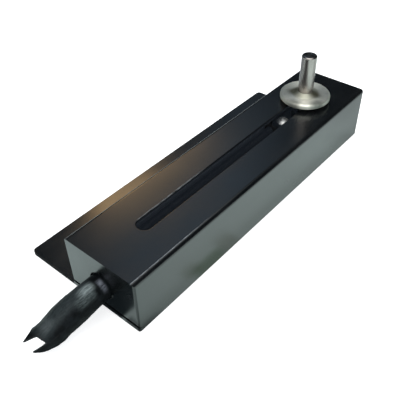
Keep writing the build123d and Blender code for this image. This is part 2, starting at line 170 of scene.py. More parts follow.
# The camera's place and directions as fitted to the photo, in millimetres. The clip is in metres.
cameraView = {
    "place": (-88.636, -71.604, 96.138),
    "right": (0.6408035, -0.7675401, -0.0159067),
    "down": (-0.5168803, -0.4160275, -0.7481684),
    "ahead": (0.5676316, 0.4876508, -0.6633182),
    "lens": 50.842,
    "filmWidth": 36.0,
    "clip": (0.001, 20.0),
}


def makeCamera():
    camera = link(bpy.data.objects.new("photoCamera", bpy.data.cameras.new("photoCamera")))
    axes = Matrix((
        Vector(cameraView["right"]),
        -Vector(cameraView["down"]),
        -Vector(cameraView["ahead"]),
    )).transposed()
    place = Matrix.Translation(Vector(cameraView["place"]) * mm)
    camera.matrix_world = place @ axes.to_4x4()
    camera.data.lens = cameraView["lens"]
    camera.data.sensor_width = cameraView["filmWidth"]
    camera.data.clip_start, camera.data.clip_end = cameraView["clip"]
    bpy.context.scene.camera = camera


makeCamera()
print("camera placed")


# The studio around the object, for light and for what the paint and the metal mirror.
# A patch rises and falls between four azimuths and four elevations, in degrees. A later one
# covers an earlier one.
studio = {
    "backgroundGlow": 1.0,
    "sky": (0.60, 0.63, 0.66),
    "patches": [
        {"azimuth": (-92, -74, 128, 140), "elevation": (-30, -12, 55, 66), "colour": (0.008, 0.010, 0.012)},
        {"azimuth": (26, 38, 52.5, 59.5), "elevation": (27, 37, 60, 72), "colour": (0.40, 0.54, 0.70)},
        {"azimuth": (39, 46, 56, 60), "elevation": (33, 36, 39, 45), "colour": (0.16, 0.21, 0.25)},
        {"azimuth": (-19, -11, 24, 32), "elevation": (49, 57, 62, 72), "colour": (1.2, 1.3, 1.35)},
        {"azimuth": (-181, -180, 180, 181), "elevation": (62, 78, 91, 92), "colour": (2.8, 2.8, 2.75)},
        {"azimuth": (150, 172, 181, 182), "elevation": (24, 40, 91, 92), "colour": (3.0, 3.0, 2.9)},
        {"azimuth": (-182, -181, -118, -100), "elevation": (24, 40, 91, 92), "colour": (3.0, 3.0, 2.9)},
    ],
}
softboxes = {
    "over": {"place": (0.0, 0.0, 0.9), "size": 0.9, "power": 5.0},
    "behindCamera": {"place": (-0.6, -0.7, 0.7), "size": 0.6, "power": 3.0},
    "farSide": {"place": (0.5, 0.8, 0.6), "size": 0.6, "power": 2.0},
}

# The floor is plain and pale. In the gloss it is a little cooler, and painted shade darkens it in a few
# places, each between four places along x and four along y, in millimetres: shadows and dark things on the
# floor, seen only in the reflections.
floorPlan = {
    "halfWidth": 3.0,
    "depth": 0.2,
    "shade": (0.86, 0.86, 0.86, 1.0),
    "roughness": 0.9,
    "glow": 0.30,
    "direct": (1.9, 1.9, 1.9, 1.0),
    "mirrored": (0.98, 1.15, 1.10, 1.0),
    "paintedShadeInGloss": [
        {"x": (30, 56, 300, 400), "y": (-300, -200, -17, -16), "share": (0.67, 0.65, 0.66, 1.0)},
        {"x": (-300, -200, -46, -24), "y": (-300, -200, -17, -16), "share": (0.90, 0.92, 0.92, 1.0)},
        {"x": (-300, -200, -48, -40), "y": (-300, -200, -17, -16), "share": (0.74, 0.74, 0.74, 1.0)},
        {"x": (-300, -200, 300, 400), "y": (-21.2, -19.2, -17, -16), "share": (0.88, 0.88, 0.87, 1.0)},
        {"x": (-30, -27, -25, -22), "y": (-22.6, -21.4, -19.6, -18.4), "share": (0.80, 0.80, 0.76, 1.0)},
        {"x": (-28.5, -24, -18, -14.5), "y": (-20.8, -19.8, -17, -16), "share": (0.60, 0.66, 0.56, 1.0)},
        {"x": (-17.5, -15, -12.5, -9.5), "y": (-22.8, -21.6, -17, -16), "share": (0.78, 0.77, 0.73, 1.0)},
        {"x": (-300, -200, -45.5, -45), "y": (-17, -16, 19, 20), "share": (0.80, 0.81, 0.82, 1.0)},
        {"x": (-66, -58, -46, -41), "y": (-12.4, -11.3, -6, -3), "share": (0.05, 0.06, 0.07, 1.0)},
        {"x": (-47.2, -46.6, -45.4, -45), "y": (-300, -200, -13.5, -12.5), "share": (0.35, 0.35, 0.36, 1.0)},
        {"x": (-47.5, -46, -42, -36), "y": (-19.2, -17.9, -17, -16), "share": (0.45, 0.45, 0.45, 1.0)},
        {"x": (-45, -32, 300, 400), "y": (17, 30, 300, 400), "share": (0.33, 0.31, 0.34, 1.0)},
    ],
}
warmCard = {
    "height": 60.0,
    "x": (-40.0, 140.0),
    "y": (20.0, 118.0),
    # The glow's middle and half width along x at one place, and how they change along y
    "from": 40.0,
    "middle": (22.5, 0.115),
    "halfWidth": (30.0, -0.50),
    # It fades between these shares of the half width, and between four places along y
    "fadeX": (0.55, 1.45),
    "fadeY": (26.0, 74.3, 95.3, 117.0),
    "colour": (1.0, 0.65, 0.30, 1.0),
    "glow": 5.1,
    # A darker part of the card, which hides some of the sky behind it
    "dark": {"x": (46.0, 66.0, 88.0, 108.0), "y": (50.0, 66.0), "share": 0.6},
    "apart": ["drive_pin", "driver_plate", "plate_screws", "left_guide_rod"],
}


def meshPiece(name, points, faces):
    mesh = bpy.data.meshes.new(name)
    mesh.from_pydata([tuple(point) for point in points], [], faces)
    return link(bpy.data.objects.new(name, mesh))


def flatSheet(name, x, y, z):
    corners = [(x[0], y[0], z), (x[1], y[0], z), (x[1], y[1], z), (x[0], y[1], z)]
    return meshPiece(name, corners, [(0, 1, 2, 3)])


def newFinish(name):
    material = bpy.data.materials.new(name)
    material.use_nodes = True
    material.node_tree.nodes.clear()
    return material


def showSurface(tree, shader):
    Signal.node(tree, "ShaderNodeOutputMaterial", {}, {"Surface": shader}, None)


def placeOn(tree):
    # The place on the object in millimetres.
    return Signal.node(tree, "ShaderNodeTexCoord", {}, {}, "Object").scaled(1 / mm)


def makeWorld():
    world = bpy.data.worlds.new("studio")
    world.use_nodes = True
    bpy.context.scene.world = world
    tree = world.node_tree
    tree.nodes.clear()
    ray = Signal.node(tree, "ShaderNodeTexCoord", {}, {}, "Generated")
    x, y, z = ray.parts()
    azimuth = ray.maths("ARCTAN2", y, x) * (180 / pi)
    elevation = ray.maths("ARCSINE", z) * (180 / pi)
    colour = sky = (*studio["sky"], 1.0)
    for patch in studio["patches"]:
        inside = azimuth.band(*patch["azimuth"]) * elevation.band(*patch["elevation"])
        colour = inside.blend(colour, (*patch["colour"], 1.0))
    mirrored = Signal.node(tree, "ShaderNodeLightPath", {}, {}, "Is Glossy Ray")
    seen = Signal.node(tree, "ShaderNodeLightPath", {}, {}, "Is Camera Ray")
    glow = studio["backgroundGlow"]
    colour = mirrored.blend(sky, colour)
    colour = seen.blend(colour, (glow, glow, glow, 1.0))
    light = Signal.node(tree, "ShaderNodeBackground", {}, {"Color": colour, "Strength": 1.0})
    Signal.node(tree, "ShaderNodeOutputWorld", {}, {"Surface": light}, None)


def makeSoftboxes():
    for name, box in softboxes.items():
        light = bpy.data.lights.new(name, "AREA")
        light.size = box["size"]
        light.energy = box["power"]
        lamp = link(bpy.data.objects.new(name, light))
        place = Vector(box["place"])
        lamp.matrix_world = Matrix.Translation(place) @ place.to_track_quat("Z", "Y").to_matrix().to_4x4()
        lamp.visible_glossy = False
        lamp.visible_camera = False


def makeFloor():
    half = floorPlan["halfWidth"]
    floor = flatSheet("floor", (-half, half), (-half, half), -floorPlan["depth"] * mm)
    material = newFinish("paleFloor")
    tree = material.node_tree
    camera, mirrored, through = [
        Signal.node(tree, "ShaderNodeLightPath", {}, {}, kind)
        for kind in ("Is Camera Ray", "Is Glossy Ray", "Is Transmission Ray")
    ]
    x, y = placeOn(tree).parts()[:2]
    tone = floorPlan["mirrored"][:3]
    # Painted shade, seen only in the gloss
    for patch in floorPlan["paintedShadeInGloss"]:
        inside = x.band(*patch["x"]) * y.band(*patch["y"])
        tone = inside.blend(white, patch["share"]).vector("MULTIPLY", tone)
    seen = camera.orMore(mirrored).orMore(through)
    values = {
        "Base Color": mirrored.blend(white, tone).vector("MULTIPLY", floorPlan["shade"][:3]),
        "Roughness": floorPlan["roughness"],
        "Specular IOR Level": 0.0,
        "Emission Color": seen.blend(black, mirrored.blend(floorPlan["direct"], tone)),
        "Emission Strength": floorPlan["glow"],
    }
    showSurface(tree, Signal.node(tree, "ShaderNodeBsdfPrincipled", {}, values))
    floor.data.materials.append(material)


def makeWarmCard():
    # A card beside the object that only shows as a warm patch in the gloss.
    sides = [[edge * mm for edge in warmCard[side]] for side in ("x", "y")]
    card = flatSheet("warmCard", *sides, warmCard["height"] * mm)
    material = newFinish("warmCardGlow")
    tree = material.node_tree
    x, y = placeOn(tree).parts()[:2]
    beyond = y - warmCard["from"]
    middle, halfWidth = [
        beyond * slope + start
        for start, slope in (warmCard["middle"], warmCard["halfWidth"])
    ]
    away = abs((x - middle) / halfWidth)
    share = away.rise(*warmCard["fadeX"], 1.0, 0.0) * y.band(*warmCard["fadeY"])
    dark = warmCard["dark"]
    shut = x.band(*dark["x"]) * y.rise(*dark["y"]) * dark["share"]
    glow = Signal.node(tree, "ShaderNodeEmission", {}, {
        "Color": share.blend(black, warmCard["colour"]), "Strength": warmCard["glow"],
    })
    clear = Signal.node(tree, "ShaderNodeBsdfTransparent")
    glowing = Signal.node(tree, "ShaderNodeAddShader", {}, {0: glow, 1: clear})
    opaque = Signal.node(tree, "ShaderNodeEmission", {}, {"Color": black, "Strength": 0.0})
    showSurface(tree, Signal.node(tree, "ShaderNodeMixShader", {}, {0: shut, 1: glowing, 2: opaque}))
    card.data.materials.append(material)
    card.visible_camera = False
    card.visible_diffuse = False
    card.visible_transmission = False
    card.visible_shadow = False
    # The bare metal stays out of the warm glow
    apart = bpy.data.collections.new("apartFromWarmCard")
    for name in warmCard["apart"]:
        apart.objects.link(bpy.data.objects[name])
    for held in apart.collection_objects:
        held.light_linking.link_state = "EXCLUDE"
    card.light_linking.receiver_collection = apart


makeWorld()
makeSoftboxes()
makeFloor()
makeWarmCard()
print("studio lit")


# Finishes of the parts. Sizes are in millimetres. Noise lies mostly in this span, so over it a
# gloss runs from its first value to its second. A pair named At is the span of noise that shows.
noiseSpan = (0.3, 0.7)
paint = {
    "shade": (0.0026, 0.0034, 0.0040, 1.0),
    "fleck": (0.0042, 0.0050, 0.0056, 1.0),
    "fleckAt": (0.40, 0.65),
    "cloudSize": (14.0, 7.0, 7.0),
    "inside": (0.085, 0.095, 0.110, 1.0),
    # A faint painted glow in the dark of the housing, which lifts the shade inside it
    "paintedGlow": (0.0078, 0.0100, 0.0128, 1.0),
    "slotEdge": 0.25,
    # Light broken lines painted on the top: where along the housing, and how far from its near side
    "edgeLineColour": (0.23, 0.25, 0.26, 1.0),
    "flakeSize": (1.6, 0.15, 0.15),
    "flakesAt": (0.40, 0.60),
    "topDepth": 0.3,
    "lightEdgeLines": [
        {"along": (-60.0, -50.0, -34.0, -18.0), "across": (0.79, 0.97), "share": 1.0},
        {"along": (-32.5, -31.0, -15.0, -8.0), "across": (12.02, 12.32), "share": 0.45},
    ],
    # The plate's cut edges are matt, but not the end under the housing, up to this far across
    "flushUpTo": 2.8,
    "cutRoughness": 0.8,
    "cutShine": 0.1,
    "chip": (0.05, 0.05, 0.05, 1.0),
    "chipSize": (0.5, 0.5, 0.3),
    "chipsAt": (0.62, 0.70),
    "sheet": 0.8,
    "sheetSlack": 0.05,
    "gloss": (0.20, 0.28),
    "ior": 1.6,
    "peelSize": 1.6,
    "peelDepth": 0.0035,
    "grainSize": 0.12,
    "grainDepth": 0.0006,
}
turned = {
    "shade": (0.322, 0.296, 0.280, 1.0),
    # The flange's steel is painted lighter than the pin's, for the light its flat top catches
    "flangeShade": (0.800, 0.800, 0.720, 1.0),
    # Painted shade: the flange darker round the pin's base, out to the hub's edge
    "hubShade": (0.400, 0.400, 0.320, 1.0),
    "hubEdge": (3.0, 4.1),
    # Spots of painted shade on the flange, placed from the pin's middle: two beside the hub by the pin's
    # base, and two by the rim, which narrow the rim's highlight
    "shadeSpots": [
        {"at": (-1.4, 2.6), "edge": (0.5, 2.4), "shade": (0.250, 0.240, 0.175, 1.0)},
        {"at": (0.4, -2.7), "edge": (0.4, 2.2), "shade": (0.250, 0.240, 0.175, 1.0)},
        {"at": (-6.5, -0.4), "edge": (0.6, 2.7), "shade": (0.380, 0.380, 0.340, 1.0)},
        {"at": (-3.2, -5.8), "edge": (0.6, 2.9), "shade": (0.270, 0.280, 0.250, 1.0)},
    ],
    # Noise breaks up three marks, each given as a span of noise and the mark's strength at the span's two
    # ends. The first two break up the painted shade round the hub and in the spots, and the last, a stain,
    # dims the whole.
    "stainSize": (2.4, 2.4, 3.5),
    "hubShadeBreakup": (0.25, 0.60, 1.0, 0.60),
    "spotShadeBreakup": (0.30, 0.55, 0.75, 1.0),
    "stain": (0.45, 0.75, 1.0, 0.78),
    "gloss": (0.20, 0.30),
    "flangeGloss": (0.52, 0.62),
    "brushed": 0.45,
    "brushedTurn": 0.25,
    "flangeTop": 17.5,
    "pinRadius": 2.02,
    "ringSize": 0.16,
    "ringDepth": 0.010,
}
# Each metal dulls in clouds that its own grain breaks up.
metalWear = {
    "cloudSize": (3.0, 3.0, 3.0),
    "cloudShare": 0.7,
    "dullAt": (0.40, 0.62),
    "grainDepth": 0.003,
}
# A paintedGlow entry is painted light: a faint glow that lifts a part seen through the slot out of its shade
metals = {
    "driver_plate": {
        "shade": (0.034, 0.040, 0.046), "dull": (0.028, 0.032, 0.037), "gloss": (0.45, 0.60),
        "grain": (3.0, 0.08, 0.5), "paintedGlow": (0.0055, 0.0072, 0.0092),
    },
    "mechanism_frame": {
        "shade": (0.17, 0.18, 0.19), "dull": (0.12, 0.13, 0.14), "gloss": (0.45, 0.60),
        "grain": (6.0, 0.10, 0.10), "paintedGlow": (0.0050, 0.0065, 0.0085),
    },
    "base_screws": {
        "shade": (0.50, 0.50, 0.49), "dull": (0.33, 0.33, 0.31), "gloss": (0.28, 0.45),
        "grain": (0.5, 0.05, 0.5),
    },
    "clinch_nuts": {
        "shade": (0.52, 0.53, 0.52), "dull": (0.38, 0.38, 0.37), "gloss": (0.30, 0.46),
        "grain": (0.3, 0.3, 0.06),
    },
    "frame_rivets": {
        "shade": (0.56, 0.56, 0.55), "dull": (0.40, 0.40, 0.39), "gloss": (0.30, 0.50),
        "grain": (0.4, 0.4, 0.2),
    },
    "left_guide_rod": {
        "shade": (0.12, 0.13, 0.14), "dull": (0.09, 0.10, 0.11), "gloss": (0.40, 0.50),
        "grain": (0.06, 1.5, 1.5), "paintedGlow": (0.0060, 0.0078, 0.0105),
    },
    "right_guide_rod": {
        "shade": (0.12, 0.13, 0.14), "dull": (0.09, 0.10, 0.11), "gloss": (0.40, 0.50),
        "grain": (0.06, 1.5, 1.5),
    },
    "rod_retaining_rings": {
        "shade": (0.20, 0.20, 0.21), "dull": (0.12, 0.12, 0.13), "gloss": (0.30, 0.42),
        "grain": (0.4, 0.1, 0.1),
    },
    "sleeve_clamp": {
        "shade": (0.60, 0.60, 0.60), "dull": (0.45, 0.45, 0.44), "gloss": (0.28, 0.44),
        "grain": (0.1, 1.2, 1.2),
    },
    "threaded_insert": {
        "shade": (0.74, 0.54, 0.25), "dull": (0.55, 0.38, 0.16), "gloss": (0.22, 0.38),
        "grain": (0.5, 0.5, 0.06),
    },
    "plate_screws": {
        "shade": (0.86, 0.87, 0.88), "dull": (0.75, 0.76, 0.76), "gloss": (0.55, 0.62),
        "grain": (0.3, 0.3, 0.3),
    },
    "lock_nut": {
        "shade": (0.57, 0.58, 0.58), "dull": (0.40, 0.41, 0.41), "gloss": (0.24, 0.40),
        "grain": (0.3, 0.3, 0.08),
    },
    "wiper": {
        "shade": (0.70, 0.46, 0.27), "dull": (0.55, 0.33, 0.19), "gloss": (0.20, 0.34),
        "grain": (2.5, 0.07, 1.0),
    },
    "terminal_pins": {
        "shade": (0.66, 0.65, 0.62), "dull": (0.52, 0.51, 0.48), "gloss": (0.22, 0.36),
        "grain": (0.1, 0.1, 1.0),
    },
    "solder_joints": {
        "shade": (0.68, 0.68, 0.67), "dull": (0.50, 0.50, 0.49), "gloss": (0.14, 0.34),
        "grain": (0.35, 0.35, 0.35),
    },
    "contact_traces": {
        "shade": (0.62, 0.61, 0.58), "dull": (0.48, 0.47, 0.44), "gloss": (0.38, 0.52),
        "grain": (0.12, 0.12, 0.12),
    },
}
plasticMottle = {"size": (2.5, 2.5, 2.5), "deepAt": (0.35, 0.68)}
plastics = {
    "carriage": {
        "shade": (0.62, 0.61, 0.57), "deep": (0.52, 0.51, 0.47),
        "gloss": (0.38, 0.52), "grain": 0.35, "depth": 0.003,
        "shadedBand": (-13.0, -10.5, 0.0, 2.5), "shadedTone": (0.042, 0.045, 0.049),
    },
    "rod_bumpers": {
        "shade": (0.020, 0.020, 0.021), "deep": (0.010, 0.010, 0.011),
        "gloss": (0.55, 0.72), "grain": 0.20, "depth": 0.004,
    },
    "resistive_track": {
        "shade": (0.014, 0.014, 0.015), "deep": (0.008, 0.008, 0.009),
        "gloss": (0.42, 0.58), "grain": 0.08, "depth": 0.002,
    },
    "collector_track": {
        "shade": (0.022, 0.022, 0.023), "deep": (0.012, 0.012, 0.013),
        "gloss": (0.36, 0.50), "grain": 0.08, "depth": 0.002,
    },
}
wires = {
    "start_lead_wire": (0.42, 0.020, 0.018),
    "wiper_lead_wire": (0.72, 0.70, 0.64),
    "end_lead_wire": (0.024, 0.024, 0.026),
}
wireFinish = {
    "bared": 0.9,
    "copper": (0.80, 0.42, 0.26, 1.0),
    "grainSize": (1.2, 0.12, 0.12),
    "grainDepth": 0.003,
    "darkest": 0.8,
    "gloss": (0.34, 0.46),
}
laminate = {
    "shade": (0.050, 0.056, 0.062, 1.0),
    "thread": (0.070, 0.078, 0.086, 1.0),
    "threadPitch": 0.45,
    "threadShare": 0.5,
    "threadDepth": 0.004,
    "cloudSize": (5.0, 3.0, 3.0),
    "gloss": (0.34, 0.50),
}


def bumped(height, depth):
    values = {"Height": height, "Distance": depth * mm, "Strength": 1.0}
    return Signal.node(height.tree, "ShaderNodeBump", {}, values)


def closeFinish(material, values):
    tree = material.node_tree
    showSurface(tree, Signal.node(tree, "ShaderNodeBsdfPrincipled", {}, values))
    return material


def paintedSheet(name, insideOf=None, cutEdges=False):
    # Gloss black stoving paint: a fine orange peel, a little grain and duller clouds.
    material = newFinish(name)
    tree = material.node_tree
    place = placeOn(tree)
    peel = place.noise((paint["peelSize"],) * 3, detail=2.0)
    grain = place.noise((paint["grainSize"],) * 3, detail=1.0)
    clouds = place.noise(paint["cloudSize"], detail=3.0)
    height = peel + grain * (paint["grainDepth"] / paint["peelDepth"])
    colour = clouds.ramp(*paint["fleckAt"]).blend(paint["shade"], paint["fleck"])
    if insideOf:
        # Only primer on the inner faces of the folded sheet
        low, high = [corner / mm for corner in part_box(insideOf)]
        wall = paint["sheet"] - paint["sheetSlack"]
        x, y, z = place.parts()
        inner = (x > low.x + wall) * (x < high.x - wall) * (y > low.y + wall) * (y < high.y - wall)
        colour = (inner * (z < high.z - wall)).blend(colour, paint["inside"])
        paintedGlowMask = inner * (z < high.z - paint["slotEdge"])
        # Light broken lines painted along two edges of the top
        flakes = place.noise(paint["flakeSize"], detail=3.0, roughness=0.8).ramp(*paint["flakesAt"])
        for line in paint["lightEdgeLines"]:
            near, far = [low.y + edge for edge in line["across"]]
            lightEdgeLines = (y > near) * (y < far) * (z > high.z - paint["topDepth"])
            lightEdgeLines = lightEdgeLines * x.band(*line["along"])
            colour = (lightEdgeLines * flakes * line["share"]).blend(colour, paint["edgeLineColour"])
    values = {
        "Base Color": colour,
        "Roughness": clouds.ramp(*noiseSpan, *paint["gloss"]),
        "IOR": paint["ior"],
        "Normal": bumped(height, paint["peelDepth"]),
    }
    if insideOf:
        # Painted glow: the inner faces below the slot's edge give off a faint light of their own
        values["Emission Color"] = paintedGlowMask.blend(black, paint["paintedGlow"])
        values["Emission Strength"] = 1.0
    glossy = Signal.node(tree, "ShaderNodeBsdfPrincipled", {}, values)
    if cutEdges:
        # The sheared edges are matt and a little chipped
        chips = place.noise(paint["chipSize"], detail=3.0, roughness=0.7).ramp(*paint["chipsAt"])
        matt = Signal.node(tree, "ShaderNodeBsdfPrincipled", {}, {
            "Base Color": chips.blend(paint["shade"], paint["chip"]),
            "Roughness": paint["cutRoughness"],
            "Specular IOR Level": paint["cutShine"],
        })
        # A face looks along a direction where its normal leans at least half that way
        across, along, up = Signal.node(tree, "ShaderNodeTexCoord", {}, {}, "Normal").parts()
        flush = (across < -0.5) * (place.parts()[1] < paint["flushUpTo"])
        cut = (abs(up) < 0.5) * (along > -0.5) * (1.0 - flush)
        glossy = Signal.node(tree, "ShaderNodeMixShader", {}, {0: cut, 1: glossy, 2: matt})
    showSurface(tree, glossy)
    return material


def turnedSteel():
    # Fine turning rings about the pin's own axis, on the pin and on its flange alike.
    material = newFinish("turnedSteel")
    low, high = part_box("drive_pin")
    middle = (low + high) / (2 * mm)
    tree = material.node_tree
    place = placeOn(tree)
    x, y, z = place.vector("SUBTRACT", (middle.x, middle.y, 0.0)).parts()
    radius = (x * x + y * y).root()
    rings = Signal.node(tree, "ShaderNodeTexNoise", {"noise_dimensions": "1D"}, {
        "W": (radius + z) / turned["ringSize"], "Scale": 1.0, "Detail": 3.0, "Roughness": 0.7,
    })
    stains = place.noise(turned["stainSize"], detail=4.0, roughness=0.6)
    flange = (z < turned["flangeTop"]) * (radius > turned["pinRadius"])
    gloss = [
        flange * wide + (1 - flange) * narrow
        for wide, narrow in zip(turned["flangeGloss"], turned["gloss"])
    ]
    # The flange painted lighter than the pin, for the light its flat top catches
    shade = flange.blend(turned["shade"], turned["flangeShade"])
    # Painted shade round the pin's base
    hub = flange * radius.rise(*turned["hubEdge"], 1.0, 0.0) * stains.ramp(*turned["hubShadeBreakup"])
    shade = hub.blend(shade, turned["hubShade"])
    # Spots of painted shade
    for spot in turned["shadeSpots"]:
        away = place.vector("SUBTRACT", (middle.x + spot["at"][0], middle.y + spot["at"][1], 0.0))
        away = away.vector("MULTIPLY", (1.0, 1.0, 0.0)).vector("LENGTH", None, 1)
        shadedSpot = flange * away.rise(*spot["edge"], 1.0, 0.0) * stains.ramp(*turned["spotShadeBreakup"])
        shade = shadedSpot.blend(shade, spot["shade"])
    return closeFinish(material, {
        "Base Color": shade.scaled(stains.ramp(*turned["stain"])),
        "Metallic": 1.0,
        "Anisotropic": turned["brushed"],
        "Anisotropic Rotation": turned["brushedTurn"],
        "Roughness": stains.ramp(*noiseSpan, *gloss),
        "Normal": bumped(rings, turned["ringDepth"]),
    })


def metalFinish(name, look):
    material = newFinish(name + "Metal")
    place = placeOn(material.node_tree)
    grain = place.noise(look["grain"], detail=3.0, roughness=0.6)
    clouds = place.noise(metalWear["cloudSize"], detail=3.0)
    share = metalWear["cloudShare"]
    dull = (clouds * share + grain * (1 - share)).ramp(*metalWear["dullAt"])
    return closeFinish(material, {
        "Base Color": dull.blend((*look["shade"], 1.0), (*look["dull"], 1.0)),
        "Metallic": 1.0,
        "Roughness": dull.ramp(0.0, 1.0, *look["gloss"]),
        # Painted glow, where the part has one
        "Emission Color": (*look.get("paintedGlow", (0, 0, 0)), 1.0),
        "Emission Strength": 1.0,
        "Normal": bumped(grain, metalWear["grainDepth"]),
    })


def plasticFinish(name, look):
    material = newFinish(name + "Plastic")
    place = placeOn(material.node_tree)
    grain = place.noise((look["grain"],) * 3, detail=3.0)
    clouds = place.noise(plasticMottle["size"], detail=3.0)
    colour = clouds.ramp(*plasticMottle["deepAt"]).blend((*look["shade"], 1.0), (*look["deep"], 1.0))
    if "shadedBand" in look:
        # A darker band painted where the carriage lies under the slot, as painted shade, between four places
        # across the housing
        colour = place.parts()[1].band(*look["shadedBand"]).blend(colour, (*look["shadedTone"], 1.0))
    return closeFinish(material, {
        "Base Color": colour,
        "Roughness": grain.ramp(*noiseSpan, *look["gloss"]),
        "Normal": bumped(grain, look["depth"]),
    })


def laminateFinish():
    # Resin paper board with the weave of its glass cloth faintly showing.
    material = newFinish("laminateBoard")
    place = placeOn(material.node_tree)
    x, y = place.parts()[:2]
    turn = 2 * pi / laminate["threadPitch"]
    weave = (x * turn).sine() * (y * turn).sine()
    clouds = place.noise(laminate["cloudSize"], detail=4.0)
    share = laminate["threadShare"]
    pale = weave.ramp(-1.0, 1.0) * share + clouds * (1 - share)
    return closeFinish(material, {
        "Base Color": pale.blend(laminate["shade"], laminate["thread"]),
        "Roughness": clouds.ramp(*noiseSpan, *laminate["gloss"]),
        "Normal": bumped(weave, laminate["threadDepth"]),
    })


def wireSkin(name, shade):
    # The insulation's colour, with bare copper on the last bit before the terminal.
    material = newFinish(name + "Skin")
    place = placeOn(material.node_tree)
    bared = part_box(name)[1].x / mm - wireFinish["bared"]
    copper = place.parts()[0] > bared
    grain = place.noise(wireFinish["grainSize"], detail=2.0)
    darker = [part * wireFinish["darkest"] for part in shade]
    skin = grain.ramp(*noiseSpan).blend((*shade, 1.0), (*darker, 1.0))
    return closeFinish(material, {
        "Base Color": copper.blend(skin, wireFinish["copper"]),
        "Metallic": copper,
        "Roughness": grain.ramp(*noiseSpan, *wireFinish["gloss"]),
        "Normal": bumped(grain, wireFinish["grainDepth"]),
    })


def dress(node, material):
    for slot in nodes[node].material_slots:
        slot.material = material


dress("cover", paintedSheet("glossBlackCover", insideOf="cover"))
dress("base_plate", paintedSheet("glossBlackPlate", cutEdges=True))
dress("drive_pin", turnedSteel())
dress("resistance_board", laminateFinish())
for name, look in metals.items():
    dress(name, metalFinish(name, look))
for name, look in plastics.items():
    dress(name, plasticFinish(name, look))
for name, shade in wires.items():
    dress(name, wireSkin(name, shade))
print("finishes on:", sum(len(node.material_slots) for node in nodes.values()))


def grownInputs(tree, sockets):
    # Named inputs of a Geometry Nodes tree, and the one mesh that comes out of it.
    made = {}
    for name, kind in sockets.items():
        tree.interface.new_socket(name, in_out="INPUT", socket_type="NodeSocket" + kind)
    tree.interface.new_socket("Geometry", in_out="OUTPUT", socket_type="NodeSocketGeometry")
    entry = tree.nodes.new("NodeGroupInput")
    for name in sockets:
        made[name] = Signal(tree, entry.outputs[name])
    return made


def closeTree(tree, geometry, material):
    # Every tree ends with real geometry and one material on it.
    real = Signal.node(tree, "GeometryNodeRealizeInstances", {}, {"Geometry": geometry})
    done = Signal.node(tree, "GeometryNodeSetMaterial", {}, {"Geometry": real, "Material": material})
    Signal.node(tree, "NodeGroupOutput", {}, {"Geometry": done}, None)


def grow(name, tree, values):
    # Runs a tree on an empty object and keeps the result as a plain mesh.
    host = meshPiece(name, [], [])
    modifier = host.modifiers.new("grow", "NODES")
    modifier.node_group = tree
    for item in tree.interface.items_tree:
        if item.in_out == "INPUT":
            modifier[item.identifier] = values[item.name]
    ready = host.evaluated_get(bpy.context.evaluated_depsgraph_get())
    mesh = bpy.data.meshes.new_from_object(ready)
    mesh.name = name
    host.modifiers.clear()
    host.data = mesh
    return host


def faceOutward(thing, gap):
    # Joins what lies together and turns every face of the closed skin outward.
    work = bmesh.new()
    work.from_mesh(thing.data)
    bmesh.ops.remove_doubles(work, verts=work.verts, dist=gap)
    bmesh.ops.recalc_face_normals(work, faces=work.faces)
    work.to_mesh(thing.data)
    work.free()
    thing.data.shade_smooth()


